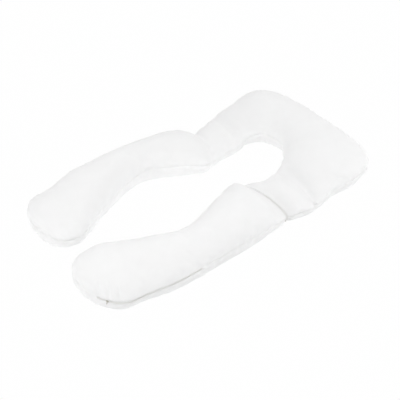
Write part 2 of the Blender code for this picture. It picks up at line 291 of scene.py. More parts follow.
# The cloth is cut a little larger than the filled shape, and the filling presses it out, so it
# puckers between its stitches and folds at the bends. Only the puckers are kept, not the swelling.
SPARE_CLOTH = 0.04
FILLING_PRESSURE = 4.0
CLOTH_STIFFNESS = 0.1
SETTLING_FRAMES = 20
PUCKER_SIZE = 0.040  # what is broader than this stays as it was cut
PUCKER_LIMIT = 0.0016
BROAD_TIMES = round(0.75 * (PUCKER_SIZE / STEP_ALONG) ** 2)  # smoothing that leaves only the rest
PUCKER_REACH = 0.070  # from a seam
MIDDLE_SHARE = 0.35  # what is left of them beyond that, where the cloth is tight
LYING = 0.004  # cloth lower than this lies on the floor
RISEN = 0.020  # and cloth higher than this is clear of it
TAPE_EDGE = 0.004  # from the joint to where its zip's tape goes under the cloth
JOINT_HOLD = 0.045  # and as far as the tape holds the cloth flat


def noise_over(points, size, amount):
    """Smooth noise from -amount to amount, in lumps of about this size."""
    flat = points.reshape(-1, points.shape[-1]) / size
    made = [noise.noise(Vector((*place, 0.0)[:3])) for place in flat.tolist()]
    return amount * np.array(made).reshape(points.shape[:-1])


def smoothstep(value, low, high):
    t = np.clip((value - low) / (high - low), 0.0, 1.0)
    return t * t * (3 - 2 * t)


def normals_over(points):
    """The outward direction at each point of a grid whose rows are closed rings."""
    along = np.gradient(points, axis=0)
    around = np.roll(points, -1, axis=1) - np.roll(points, 1, axis=1)
    normal = np.cross(along, around)
    normal /= np.maximum(np.linalg.norm(normal, axis=2), 1e-12)[:, :, None]
    out = (normal * (points - points.mean(axis=1, keepdims=True))).sum()
    return normal * np.sign(out)


def from_joint(points):
    """How far each point is from the joint's upright plane, and a metre on the far side."""
    inner, outer = np.array(JOINT_ROW[0:2]), np.array(JOINT_ROW[2:4])
    across = outer - inner
    square = np.array((-across[1], across[0])) / np.linalg.norm(across)
    return np.where(points[..., 1] < 0, abs((points[..., :2] - inner) @ square), 1.0)


def seam_depth(line):
    """How deep the seam along this edge lies: less beside the joint and round a leg's end."""
    share = 1 - (1 - LEG_END_SEAM) * smoothstep(-line[:, 0], *LEG_END)
    return SEAM_DEPTH * smoothstep(from_joint(line), 0.0, JOINT_SEAM_FADE) * share


def gone_along(line):
    """How far along its line each point lies."""
    return np.concatenate([[0], np.cumsum(np.linalg.norm(np.diff(line, axis=0), axis=1))])


def sewn_in(cloth, slices, zipped):
    """The cloth drawn in at its seams: a soft valley, or a flat-floored one where a zip is sewn in."""
    inner, outer = outward(slices.inner, slices.outer), outward(slices.outer, slices.inner)
    out = np.where(cloth.edge[:, :, None] < 0, inner[:, None], outer[:, None])
    depth = np.where(cloth.edge < 0, seam_depth(slices.inner)[:, None], seam_depth(slices.outer)[:, None])
    seam = depth * np.exp(-cloth.from_seam / SEAM_SOFTNESS)
    floor = ZIP_FLOOR_DEPTH * (1 - smoothstep(cloth.from_seam, ZIP_FLOOR_HALF, ZIP_FLOOR_HALF + ZIP_LIP))
    share = zipped[:, None] * (cloth.edge > 0)
    sunk = seam * (1 - share) + floor * share
    level = np.concatenate([out, np.zeros_like(out[:, :, :1])], axis=2)
    return cloth.points - level * sunk[:, :, None]


def gathered(cloth, slices, tip_share):
    """How high each point stands for the gathers beside the seams."""
    height = np.zeros_like(cloth.from_seam)
    for line, sign in ((slices.inner, -1), (slices.outer, 1)):
        gone = gone_along(line)
        track = np.stack([gone, np.full_like(gone, OTHER_EDGE * sign)], axis=1)
        phase = 2 * math.pi * gone / GATHER_PITCH + noise_over(track, *GATHER_SHIFT)
        strength = (MEAN_STRENGTH + noise_over(track, *GATHER_STRONGER)).clip(*STRENGTH_LIMITS)
        strength = strength * (1 + (TIP_GATHER - 1) * tip_share)
        reach = GATHER_REACH * (1 + noise_over(track + OTHER_USE, *GATHER_LONGER))
        near = cloth.from_seam / reach[:, None]
        fade = np.minimum(1, cloth.from_seam / GATHER_RISE) * np.exp(-GATHER_FALL[0] * near ** GATHER_FALL[1])
        ridge = np.sin(phase[:, None] + np.where(cloth.top > 0, 0.0, UNDER_SHIFT)) * strength[:, None]
        height += np.where(cloth.edge == sign, GATHER_HEIGHT * ridge * fade, 0.0)
    return height


def folded(points, top, folds):
    """How far each point of the top panel sinks or stands for the folds laid over it."""
    height = np.zeros(points.shape[:2])
    for fold in folds:
        start = np.array((fold.start_x, fold.start_y))
        way = np.array((fold.end_x, fold.end_y)) - start
        length = np.linalg.norm(way)
        way /= length
        rel = points[:, :, :2] - start
        t = (rel @ way) / length
        off = abs(rel @ np.array((-way[1], way[0]))) / fold.half_width
        depth = fold.start_depth + (fold.end_depth - fold.start_depth) * t.clip(0, 1)
        ends = smoothstep(t, *FOLD_START) * (1 - smoothstep(t, *FOLD_END))
        height -= depth * ends * (1 - FOLD_RIM * off**2) * np.exp(-off**2)
    return height * top


def smoothed(values, times):
    """A grid's values, each averaged with its neighbours this many times. Its rows are closed rings."""
    for _ in range(times):
        values = (values + np.roll(values, 1, axis=1) + np.roll(values, -1, axis=1)) / 3
        padded = np.concatenate([values[:1], values, values[-1:]])
        values = (padded[:-2] + padded[1:-1] + padded[2:]) / 3
    return values


def puckered(points, from_seam):
    """How high each point stands for the puckers that a cloth simulation finds.

    Every other point of the grid is simulated. The seams, the ends and what lies on the floor stay.
    """
    rows = np.unique(np.append(np.arange(0, len(points), 2), len(points) - 1))
    coarse = points[rows][:, ::2]
    held = (from_seam[rows][:, ::2] < BESIDE_SEAM[1]) | (coarse[:, :, 2] < LYING)
    held[[0, -1]] = True
    cloth = skin_object("settling", coarse, np.zeros(coarse.shape[:2] + (2,)), None)
    group = cloth.vertex_groups.new(name="held")
    group.add(np.flatnonzero(held).tolist(), 1.0, "REPLACE")
    settle = cloth.modifiers.new("settle", "CLOTH")
    stuff = settle.settings
    stuff.vertex_group_mass = "held"
    stuff.shrink_min = stuff.shrink_max = -SPARE_CLOTH
    stuff.use_pressure = True
    stuff.uniform_pressure_force = FILLING_PRESSURE
    stuff.bending_stiffness = CLOTH_STIFFNESS
    stuff.effector_weights.gravity = 0.0
    settle.collision_settings.use_collision = False
    settle.point_cache.frame_start = 1
    settle.point_cache.frame_end = SETTLING_FRAMES
    for frame_number in range(1, SETTLING_FRAMES + 1):
        bpy.context.scene.frame_set(frame_number)
    settled = cloth.evaluated_get(bpy.context.evaluated_depsgraph_get())
    places = np.empty(coarse.size, np.float32)
    settled.data.vertices.foreach_get("co", places)
    mesh = cloth.data
    bpy.data.objects.remove(cloth)
    bpy.data.meshes.remove(mesh)
    bpy.context.scene.frame_set(1)
    moved = places.reshape(coarse.shape).astype(float) - coarse
    columns = moved.reshape(len(rows), -1).T
    along = np.array([np.interp(np.arange(len(points)), rows, column) for column in columns]).T
    along = along.reshape(len(points), -1, 3)
    full = np.empty_like(points)
    full[:, ::2], full[:, 1::2] = along, (along + np.roll(along, -1, axis=1)) / 2
    full = smoothed(full, 2)  # evens out the points that weren't simulated
    height = ((full - smoothed(full, BROAD_TIMES)) * normals_over(points)).sum(2)
    height = PUCKER_LIMIT * np.tanh(height / PUCKER_LIMIT)
    near_seam = np.exp(-((from_seam / PUCKER_REACH) ** 2))
    return height * (MIDDLE_SHARE + (1 - MIDDLE_SHARE) * near_seam)


def ringed(points):
    """A grid's faces, its rows being closed rings, and the rings at its two ends."""
    index = np.arange(points.shape[0] * points.shape[1]).reshape(points.shape[:2])
    after = np.roll(index, -1, axis=1)
    quads = np.stack([index[:-1], after[:-1], after[1:], index[1:]], axis=2).reshape(-1, 4).tolist()
    return quads, [index[0].tolist(), index[-1].tolist()]


def closed_mesh(name, points, faces, material):
    """A smooth-shaded mesh of closed forms, its faces turned outwards."""
    mesh = bpy.data.meshes.new(name)
    mesh.from_pydata(points, [], faces)
    turned = bmesh.new()
    turned.from_mesh(mesh)
    bmesh.ops.recalc_face_normals(turned, faces=turned.faces)
    turned.to_mesh(mesh)
    turned.free()
    mesh.shade_smooth()
    mesh.materials.append(material)
    return mesh


def placed(name, data):
    """An object of this data, in the scene."""
    made = bpy.data.objects.new(name, data)
    bpy.context.scene.collection.objects.link(made)
    return made


def skin_object(name, points, cut, material):
    """The grid as one closed mesh, each end drawn together, with the panel's cut as its UV map."""
    quads, rings = ringed(points)
    count = points.shape[1]
    crown = (2 * len(BESIDE_SEAM) + ACROSS_TOP - 1) // 2
    ends = []
    for ring, order in zip(rings, (-1, 1)):
        paired = [(ring[(crown - n) % count], ring[(crown + n) % count]) for n in range(count // 2 + 1)]
        for (a, b), (c, d) in zip(paired, paired[1:]):
            corners = list(dict.fromkeys((a, b, d, c)))
            if len(corners) > 2:
                ends.append(corners[::order])
    mesh = closed_mesh(name, points.reshape(-1, 3), quads + ends, material)
    corners = np.empty(len(mesh.loops), np.int32)
    mesh.loops.foreach_get("vertex_index", corners)
    layer = mesh.uv_layers.new(name="cut")
    layer.uv.foreach_set("vector", cut.reshape(-1, 2)[corners].astype(np.float32).ravel())
    for face in mesh.polygons[len(quads) :]:
        face.use_smooth = False  # so that the cloth round a flat end is shaded as far as its edge
    return placed(name, mesh)


def linear(hex_colour):
    """An sRGB hex colour as the linear RGBA that a shader takes."""
    shares = [int(hex_colour[i : i + 2], 16) / 255 for i in (1, 3, 5)]
    return [c / 12.92 if c <= 0.04045 else ((c + 0.055) / 1.055) ** 2.4 for c in shares] + [1.0]


def feed(node, inputs):
    """Gives a node its inputs. Each is a value, or another node's output, which is linked to it."""
    for socket, value in inputs.items():
        if isinstance(value, bpy.types.NodeSocket):
            node.id_data.links.new(value, node.inputs[socket])
        else:
            node.inputs[socket].default_value = value


def add_node(material, kind, inputs=None, **settings):
    """Adds a node of this kind with its settings and inputs."""
    made = material.node_tree.nodes.new("ShaderNode" + kind)
    for name, value in settings.items():
        setattr(made, name, value)
    feed(made, inputs or {})
    return made


def new_material(name):
    """An empty material, its Principled shader, and its pattern's input: places on the object."""
    made = bpy.data.materials.new(name)
    made.use_nodes = True
    here = {"Vector": add_node(made, "TexCoord").outputs["Object"]}
    return made, made.node_tree.nodes["Principled BSDF"], here


# Brushed cotton: a plain weave of 0.4 mm threads, its face raised to a short nap. It reads as a
# matt, slightly uneven white that glows a little where it turns away. The weave is drawn at 2 mm,
# five times the real pitch, or it would not show at all.
COTTON_WHITE = "#F3F3F3"
COTTON_SHADE = "#ECECEC"
WEAVE_PITCH = 0.0020
NAP_SIZE = 0.0012
SLUB_LENGTH = 0.030
CRUMPLE_SIZE = 0.045


def brushed_cotton():
    made, shader, here = new_material("brushed_cotton")
    cut = add_node(made, "UVMap", uv_map="cut")
    axes = add_node(made, "SeparateXYZ", {"Vector": cut.outputs["UV"]})
    threads = []
    for axis in ("X", "Y"):
        waves = {0: axes.outputs[axis], 1: 2 * math.pi / WEAVE_PITCH}
        turn = add_node(made, "Math", waves, operation="MULTIPLY")
        threads.append(add_node(made, "Math", {0: turn.outputs[0]}, operation="SINE"))
    weave = add_node(made, "Math", {0: threads[0].outputs[0], 1: threads[1].outputs[0]}, operation="MULTIPLY")
    drawn_out = {"Vector": cut.outputs["UV"], "Scale": (1 / SLUB_LENGTH, 1 / WEAVE_PITCH, 1.0)}
    along = add_node(made, "Mapping", drawn_out)
    slub = add_node(made, "TexNoise", {"Vector": along.outputs["Vector"], "Scale": 1.0, "Detail": 2.0})
    nap = add_node(made, "TexNoise", here | {"Scale": 1 / NAP_SIZE, "Detail": 2.0})
    crumple = add_node(made, "TexNoise", here | {"Scale": 1 / CRUMPLE_SIZE, "Detail": 3.0})
    under = add_node(made, "Bump", {"Height": weave.outputs[0], "Strength": 0.35, "Distance": 0.00012})
    for relief, strength, depth in ((slub, 0.4, 0.0002), (nap, 0.35, 0.0003), (crumple, 0.35, 0.0035)):
        laid = {"Height": relief.outputs["Fac"], "Strength": strength, "Distance": depth}
        under = add_node(made, "Bump", laid | {"Normal": under.outputs["Normal"]})
    tone = add_node(made, "Math", {0: slub.outputs["Fac"], 1: crumple.outputs["Fac"]}, operation="MULTIPLY")
    tones = {"Factor": tone.outputs[0], 6: linear(COTTON_SHADE), 7: linear(COTTON_WHITE)}
    colour = add_node(made, "Mix", tones, data_type="RGBA")
    rough = add_node(made, "MapRange", {"Value": nap.outputs["Fac"], "To Min": 0.82, "To Max": 0.95})
    surface = {"Base Color": colour.outputs[2], "Roughness": rough.outputs["Result"]}
    surface |= {"Normal": under.outputs["Normal"], "IOR": 1.5, "Specular IOR Level": 0.2}
    feed(shader, surface | {"Sheen Weight": 0.10, "Sheen Roughness": 0.5})
    return made


COTTON = brushed_cotton()


def pillow(name, slices, folds, zipped, tip_share):
    """A stuffed pillow's cloth over these cross-sections, as an object."""
    cloth = cloth_over(slices)
    points = sewn_in(cloth, slices, zipped)
    lumps = sum(noise_over(points, *lump) for lump in LUMPS)
    lumps *= smoothstep(cloth.from_seam, 0.0, LUMP_REACH)
    level = points[:, :, 2]
    height = (lumps + gathered(cloth, slices, tip_share)) * smoothstep(level, 0.0, FLAT_UNDER)
    height += puckered(points, cloth.from_seam) * smoothstep(level, LYING, RISEN)
    height *= smoothstep(from_joint(points), TAPE_EDGE, JOINT_HOLD)  # tapes hold the cloth beside a zip
    beside_zip = zipped[:, None] * (cloth.edge > 0)
    height *= 1 - beside_zip * (1 - smoothstep(cloth.from_seam, ZIP_FLOOR_HALF, ZIP_HOLD))
    height += folded(points, cloth.top, folds)
    points = points + normals_over(points) * height[:, :, None]
    points[:, :, 2] = points[:, :, 2].clip(0.0)
    made = skin_object(name, points, cloth.cut, COTTON)
    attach(made, "root")
    return made


# Where the near neck meets the joint, at the near end of the head, and where the far neck is pinched
JOINT_FOLD = Fold(0.160, -0.080, 0.172, -0.190, 0.003, 0.001, 0.018)
MAIN_FOLDS = [
    JOINT_FOLD,
    Fold(0.345, -0.085, 0.335, -0.390, 0.006, 0.007, 0.032),
    Fold(0.340, -0.250, 0.330, -0.395, 0.001, 0.006, 0.012),
    Fold(0.195, 0.335, 0.170, 0.130, 0.005, 0.002, 0.018),
]

body = body_slices(MAIN_ROWS, MAIN_CREASES)
tip = tip_slices(picked(body, 0), MAIN_TIP)
main_slices = joined(picked(tip, slice(None, None, -1)), body)
main_slices.inner[-1, 0] += JOINT_GAP / 2
main_slices.outer[-1, 0] += JOINT_GAP / 2
from_end = np.concatenate([np.linspace(1, TIP_ROOT, len(tip.low)), np.zeros(len(body.low))])
unzipped = np.zeros(len(from_end))
main = pillow("main_pillow_cloth", main_slices, MAIN_FOLDS, unzipped, from_end)
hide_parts("main_pillow")


# ---------------- zip-off pillow
# The leg that zips off is a pillow of its own, cut and stuffed as the main one. Its outer side seam
# is left open for the cover's zip over half its length.

LEG_ROWS = [
    JOINT_ROW,
    Row(0.095, -0.079, 0.095, -0.379, 0.154),
    Row(-0.015, -0.123, -0.015, -0.392, 0.183),
    Row(-0.250, -0.190, -0.215, -0.393, 0.171),
    Row(-0.415, -0.125, -0.415, -0.397, 0.172),
    Row(-0.602, -0.031, -0.602, -0.366, 0.151),
]
LEG_TIP = Tip(0.134, 2.0, 0.039)
LEG_CREASES = [Crease(0, 0.030, 0.001, 0.002, 0.012)]
# Beside the joint, and where the end of the cover's zip draws the cloth up
LEG_FOLDS = [
    JOINT_FOLD,
    Fold(-0.656, -0.338, -0.636, -0.296, 0.0045, 0.0010, 0.007),
    Fold(-0.686, -0.308, -0.660, -0.270, 0.0050, 0.0010, 0.007),
    Fold(-0.708, -0.268, -0.680, -0.244, 0.0045, 0.0010, 0.007),
]
COVER_ZIP_START = -0.715
COVER_ZIP_END = -0.295
SEAM_OPENS = 0.012  # over which the seam opens at each end of that zip

body = body_slices(LEG_ROWS, LEG_CREASES)
tip = tip_slices(picked(body, -1), LEG_TIP)
leg_slices = joined(body, tip)
leg_slices.inner[0, 0] -= JOINT_GAP / 2
leg_slices.outer[0, 0] -= JOINT_GAP / 2
from_end = np.concatenate([np.zeros(len(body.low)), np.linspace(TIP_ROOT, 1, len(tip.low))])
opened = smoothstep(leg_slices.outer[:, 0], COVER_ZIP_START - SEAM_OPENS, COVER_ZIP_START)
opened *= 1 - smoothstep(leg_slices.outer[:, 0], COVER_ZIP_END, COVER_ZIP_END + SEAM_OPENS)
leg = pillow("leg_pillow_cloth", leg_slices, LEG_FOLDS, opened, from_end)
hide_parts("leg_pillow")


# ---------------- seam thread
# White spun polyester thread that holds each pair of panels in a row of short lockstitches. It shows
# only as small ladder steps at the bottom of the seam, where the full panels pull it open.

STITCH_PITCH = 0.0032
STITCH_SPAN = 0.0026  # from one panel to the other
STITCH_SLANT = 0.18  # of the pitch
STITCH_BOW = 0.0005
THREAD_RADIUS = 0.00027
THREAD_SIDES = 5
THREAD_WHITE = "#F4F4F1"
THREAD_TWIST = 0.0007
WAVE = 2 * math.pi / 20  # the scale at which a wave texture's waves are a metre long
SHARP = math.radians(40)  # faces that meet more sharply than this keep their edge

Run = namedtuple("Run", "points outs")  # a line that something is sewn or moulded along
Frames = namedtuple("Frames", "place along across out")


def frames_on(run, distances):
    """The place and the three directions at each of these distances along a run."""
    gone = gone_along(run.points)
    ways = np.gradient(run.points, gone, axis=0)
    place, along, out = (
        np.stack([np.interp(distances, gone, column) for column in part.T], axis=1)
        for part in (run.points, ways, run.outs)
    )
    along = unit(along)
    out = unit(out - along * (out * along).sum(1)[:, None])
    return Frames(place, along, np.cross(out, along), out)


def bar(path, reference, outline):
    """(points, faces) of a bar with this outline swept along a path. Reference is the outline's up."""
    path, reference = np.array(path, float), np.array(reference, float)
    along = unit(np.gradient(path, axis=0))
    up = unit(reference - along * (along * reference).sum(-1)[:, None])
    side = np.cross(up, along)
    outline = np.array(outline)
    points = path[:, None] + side[:, None] * outline[:, :1] + up[:, None] * outline[:, 1:]
    return points.reshape(-1, 3), sum(ringed(points), [])


def round_outline(radius, sides):
    turn = np.arange(sides) * 2 * math.pi / sides
    return np.stack([np.cos(turn), np.sin(turn)], axis=1) * radius


def copies(shape, frames):
    """(points, faces) of one copy of a shape, drawn round the origin, at each of these frames."""
    points, faces = shape
    x, y, z = points.T[:, :, None]
    ways = (frames.along, x), (frames.across, y), (frames.out, z)
    made = frames.place[:, None] + sum(way[:, None] * amount[None] for way, amount in ways)
    shifts = np.arange(len(frames.place)) * len(points)
    return made.reshape(-1, 3), [[corner + int(s) for corner in face] for s in shifts for face in faces]


def piece(name, shapes, material, sharp=SHARP):
    """One mesh of all these shapes, riding on the pillow."""
    points, faces = [], []
    for some, joins in shapes:
        start = sum(map(len, points))
        points.append(some)
        faces += [[corner + start for corner in face] for face in joins]
    mesh = closed_mesh(name, np.concatenate(points), faces, material)
    mesh.set_sharp_from_angle(angle=sharp)
    made = placed(name, mesh)
    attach(made, "root")
    return made


def patterned(name, kind, pattern, surface, shades=None, rough=None, bump=None, **settings):
    """A material with one pattern, which can blend two shades, vary the roughness and lift the surface.

    Shades are a colour, and how much of it is left where it is darkest. Rough is the least and the
    most of it. Bump is a strength and a depth.
    """
    made, shader, here = new_material(name)
    level = add_node(made, kind, here | pattern, **settings).outputs["Fac"]
    if shades:
        pale = linear(shades[0])
        deep = [c * shades[1] for c in pale[:3]] + [1.0]
        mixed = add_node(made, "Mix", {"Factor": level, 6: deep, 7: pale}, data_type="RGBA")
        surface["Base Color"] = mixed.outputs[2]
    if rough:
        ranged = add_node(made, "MapRange", {"Value": level, "To Min": rough[0], "To Max": rough[1]})
        surface["Roughness"] = ranged.outputs["Result"]
    if bump:
        lifted = add_node(made, "Bump", {"Height": level, "Strength": bump[0], "Distance": bump[1]})
        surface["Normal"] = lifted.outputs["Normal"]
    feed(shader, surface)
    return made


# Three plies twisted together, with a faint gloss across the twist
THREAD = patterned(
    "spun_polyester_thread",
    "TexWave",
    {"Scale": WAVE / THREAD_TWIST, "Distortion": 1.5},
    {"Base Color": linear(THREAD_WHITE)},
    rough=(0.5, 0.7),
    bump=(0.5, 0.0001),
    bands_direction="DIAGONAL",
)


def seam_run(slices, line, other, depth, rows=slice(None)):
    """The bottom of the seam along one edge of a pillow, facing level outwards."""
    out = outward(line, other)
    places = np.column_stack([line - out * np.reshape(depth, (-1, 1)), slices.seam])
    return Run(places[rows], np.column_stack([out, np.zeros(len(out))])[rows])


def evenly_along(run, pitch):
    """Frames along a run, one in the middle of each of its even steps of about this pitch."""
    length = gone_along(run.points)[-1]
    count = round(length / pitch)
    return frames_on(run, (np.arange(count) + 0.5) * length / count)


def stitch(path):
    """(points, faces) of one stitch of thread, drawn with its back up."""
    return bar(path, (0, 0, 1), round_outline(THREAD_RADIUS, THREAD_SIDES))


def seam_stitches(run):
    """Ladder steps of thread across a seam, each slanted a little the way it was sewn."""
    slant = STITCH_PITCH * STITCH_SLANT
    ends, bow = THREAD_RADIUS, STITCH_BOW
    path = [(-slant, -STITCH_SPAN / 2, ends), (-slant / 2, -STITCH_SPAN / 4, ends + bow * 0.75)]
    path += [(0, 0, ends + bow)] + [(-x, -y, z) for x, y, z in path[::-1]]
    return copies(stitch(path), evenly_along(run, STITCH_PITCH))


def plain_seams(slices, zipped):
    """A pillow's seam in runs: its inner edge, and its outer edge less the part with a zip."""
    sewn = np.flatnonzero(zipped < 0.5)
    parts = np.split(sewn, np.flatnonzero(np.diff(sewn) > 1) + 1)
    inner, outer = seam_depth(slices.inner) - THREAD_RADIUS, seam_depth(slices.outer) - THREAD_RADIUS
    runs = [seam_run(slices, slices.inner, slices.outer, inner)]
    return runs + [seam_run(slices, slices.outer, slices.inner, outer, part) for part in parts]


for name, slices, zipped in (("main", main_slices, unzipped), ("leg", leg_slices, opened)):
    runs = plain_seams(slices, zipped)
    piece(name + "_seam_thread", [seam_stitches(run) for run in runs], THREAD)


# ---------------- joining zip
# A closed nylon coil zip that holds the leg to the neck. Each half is a monofilament coil, sewn with
# two rows of thread to a woven polyester tape, and its tape is sewn in behind the end of a pillow.
# It lies at the bottom of the crease between them, from the crown over the outer edge to the floor.

SEATING = 0.0004  # the air between a zip and the cloth
COIL_WIDTH = 0.0045
COIL_THICKNESS = 0.0014
COIL_PITCH = 0.0013
COIL_WIRE = 0.00029  # half of its width
COIL_LOCK = 1.3  # how far each half reaches past the middle, as a share of that
COIL_TURN_STEPS = 10
COIL_SIDES = 5
TAPE_INNER = 0.0003
TAPE_HALF = 0.0041
TAPE_THICKNESS = 0.0004
TAPE_STEP = 0.002
TAPE_ROW = 0.0016  # where the rows of thread hold the coil, from the middle
ROW_STITCH = 0.0021
ROW_STITCH_HALF = 0.42  # half of a stitch, and then of its flat top, as shares of the pitch
ROW_STITCH_TOP = 0.6
EDGE_ROW = 0.0034  # where the tape is sewn to the cloth
LOWER_END = 0.73  # how far under the outer edge the joining zip goes, as a share of the drop
STOP_SIZE = (0.0030, 0.0056, 0.0019)
STOP_ARCH = 0.6  # an exponent: less than 1 is squarer than a half round
STOP_BEVEL = (1, 0.88, 0.86)  # how its two faces are drawn in
NYLON_WHITE = "#F3F3F1"
TAPE_WHITE = "#F3F3F1"
TWILL_PITCH = 0.0008
MILK_SIZE = 0.004
ROUNDED = math.radians(80)  # faces that meet less sharply than this are shaded as one

# The coil is drawn nylon, milky and smooth, so it holds small soft highlights
NYLON = patterned(
    "nylon_monofilament",
    "TexNoise",
    {"Scale": 1 / MILK_SIZE},
    {"IOR": 1.53},
    shades=(NYLON_WHITE, 0.96),
    rough=(0.28, 0.42),
)
# The tape is a dense polyester twill, whose slanted ribs catch a faint satin light
TAPE = patterned(
    "woven_polyester_tape",
    "TexWave",
    {"Scale": WAVE / TWILL_PITCH, "Distortion": 0.6},
    {"Roughness": 0.7, "Sheen Weight": 0.15},
    shades=(TAPE_WHITE, 0.94),
    bump=(0.6, 0.00012),
    bands_direction="DIAGONAL",
)


def coil_half(run, side):
    """One half's coil: a flattened helix that reaches a little past the middle to lock with the other."""
    length = gone_along(run.points)[-1]
    turns = int(length / COIL_PITCH) - 1
    turn = np.arange(turns * COIL_TURN_STEPS + 1) * 2 * math.pi / COIL_TURN_STEPS
    frames = frames_on(run, (turn / (2 * math.pi) + 0.5 + side / 4) * COIL_PITCH)
    inner, outer = -COIL_WIRE * COIL_LOCK, COIL_WIDTH / 2 - COIL_WIRE
    across = side * ((inner + outer) / 2 - np.cos(turn) * (outer - inner) / 2)
    height = np.sin(turn) * (COIL_THICKNESS / 2 - COIL_WIRE)
    path = frames.place + frames.across * across[:, None] + frames.out * height[:, None]
    return bar(path, frames.along, round_outline(COIL_WIRE, COIL_SIDES))


def tape_half(run, side):
    """One half's tape, from under the coil to where the cloth covers it."""
    length = gone_along(run.points)[-1]
    frames = frames_on(run, np.linspace(0, length, round(length / TAPE_STEP)))
    low = -COIL_THICKNESS / 2 - SEATING / 2
    high = low + TAPE_THICKNESS
    outline = [(TAPE_INNER, low), (TAPE_HALF, low), (TAPE_HALF, high), (TAPE_INNER, high)]
    return bar(frames.place, frames.out, [(-side * x, z) for x, z in outline])


def row_of_stitches(run, across, height, pitch):
    """A row of running stitches along a run, this far across it and above it."""
    reach = pitch * ROW_STITCH_HALF
    top = reach * ROW_STITCH_TOP
    path = [(-reach, 0, 0), (-top, 0, THREAD_RADIUS), (top, 0, THREAD_RADIUS), (reach, 0, 0)]
    points, faces = stitch(path)
    return copies((points + (0, across, height), faces), evenly_along(run, pitch))


def end_stop(run, distance):
    """A nylon block moulded over both halves of a zip."""
    x, y, z = STOP_SIZE
    arch = np.linspace(0, math.pi, 9)
    outline = np.stack([np.cos(arch) * y / 2, np.sin(arch) ** STOP_ARCH * z], axis=1)
    points, faces = bar([(x * share, 0, 0) for share in (-0.5, -0.42, 0.42, 0.5)], (0, 0, 1), outline)
    points = points * np.where(abs(points[:, :1]) > x * 0.45, STOP_BEVEL, (1, 1, 1))
    return copies((points - (0, 0, COIL_THICKNESS / 2), faces), frames_on(run, np.array([distance])))


def coil_zip(name, run, node):
    """A zip's coil, tapes, thread and stops along a run, which is the middle of its coil."""
    length = gone_along(run.points)[-1]
    coil = piece(name + "_coil", [coil_half(run, side) for side in (-1, 1)], NYLON, ROUNDED)
    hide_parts(node)
    piece(name + "_tape", [tape_half(run, side) for side in (-1, 1)], TAPE)
    held, edge = COIL_THICKNESS / 2, TAPE_THICKNESS - COIL_THICKNESS / 2 - SEATING / 2
    rows = [row_of_stitches(run, side * TAPE_ROW, held, ROW_STITCH) for side in (-1, 1)]
    rows += [row_of_stitches(run, side * EDGE_ROW, edge, STITCH_PITCH) for side in (-1, 1)]
    piece(name + "_thread", rows, THREAD)
    stops = [end_stop(run, distance) for distance in (STOP_SIZE[0] / 2, length - STOP_SIZE[0] / 2)]
    piece(name + "_stops", stops, NYLON)


TOP_COUNT = 2 * len(BESIDE_SEAM) + ACROSS_TOP - 2  # a ring's points from its inner seam to its outer one

ring = cloth_over(picked(leg_slices, slice(0, 2))).points[0]
line = ring[TOP_COUNT // 2 : TOP_COUNT + ACROSS_BOTTOM // 2]
deepest = leg_slices.seam[0] - LOWER_END * (leg_slices.seam[0] - leg_slices.low[0])
line = line[line[:, 2] >= deepest]
line[:, 0] += JOINT_GAP / 2
across = leg_slices.outer[0] - leg_slices.inner[0]
across /= np.linalg.norm(across)
outs = unit(np.cross(np.gradient(line, axis=0), (-across[1], across[0], 0.0)))
joining_run = Run(line + outs * (SEATING + COIL_THICKNESS / 2), outs)
coil_zip("joining_zip", joining_run, "joining_zip")


# ---------------- joining zip slider
# A cast zinc slider, nickel plated: a body whose flanges straddle the coil, a bent bridge on its
# back, and a flat stamped pull that hangs from the bridge. It stands at the lower end, zip closed.

SLIDER_LENGTH = 0.0100
SLIDER_NOSE = 0.0075
SLIDER_TAIL = 0.0056
SLIDER_FLARE = 0.7  # an exponent: less than 1 widens it early
SLIDER_FLANGE = 0.0008
SLIDER_ROOF = (0.0010, 0.0022)  # the roof's under and upper side, above the middle of the coil
SLIDER_SHOULDER = 0.45  # of the roof's thickness
# Shares of its length, and how full it is there: its ends are rounded, by a quarter as much in width
SLIDER_STATIONS = [(0, 0.80), (0.04, 0.93), (0.12, 1), (0.5, 1), (0.88, 1), (0.96, 0.93), (1, 0.80)]
FLANGE_FOOT = -0.0003
BRIDGE_WIDTH = 0.0022
BRIDGE_THICKNESS = 0.0008
BRIDGE_HEIGHT = 0.0021
BRIDGE_SUNK = 0.0003
BRIDGE_BENDS = (-0.0036, -0.0034, -0.0026, -0.0014, 0.0012, 0.0023, 0.0031, 0.0033)
BRIDGE_SHOULDERS = (0.0009, 0.0002)  # the bends above its feet, and below its top
CHAMFERED = [(-1, -0.6), (-1, 0.6), (-0.8, 1), (0.8, 1), (1, 0.6), (1, -0.6), (0.8, -1), (-0.8, -1)]
PULL_LENGTH = 0.0180
PULL_WIDTH = 0.0045
PULL_THICKNESS = 0.0011
PULL_BEVEL = 0.00018
PULL_START = -0.1  # how far behind the bridge it starts, as a share of its length
PULL_SLOT = (0.0009, 0.0050, 0.00135)  # from its start, and half the width
PULL_HOLE = (0.0042, 0.0016, 0.0013)  # from its end
PULL_ABOVE = 0.0001  # over the slider's roof
JOINING_PULL_HANG = math.radians(-20)
NICKEL_SHADE = "#C4C1BA"
DENT_SIZE = 0.0012

# Cast zinc, tumbled and nickel plated: softly bright with fine dents
NICKEL = patterned(
    "nickel_plated_zinc",
    "TexNoise",
    {"Scale": 1 / DENT_SIZE, "Detail": 3.0},
    {"Base Color": linear(NICKEL_SHADE), "Metallic": 1.0},
    rough=(0.22, 0.38),
    bump=(0.25, 0.0001),
)


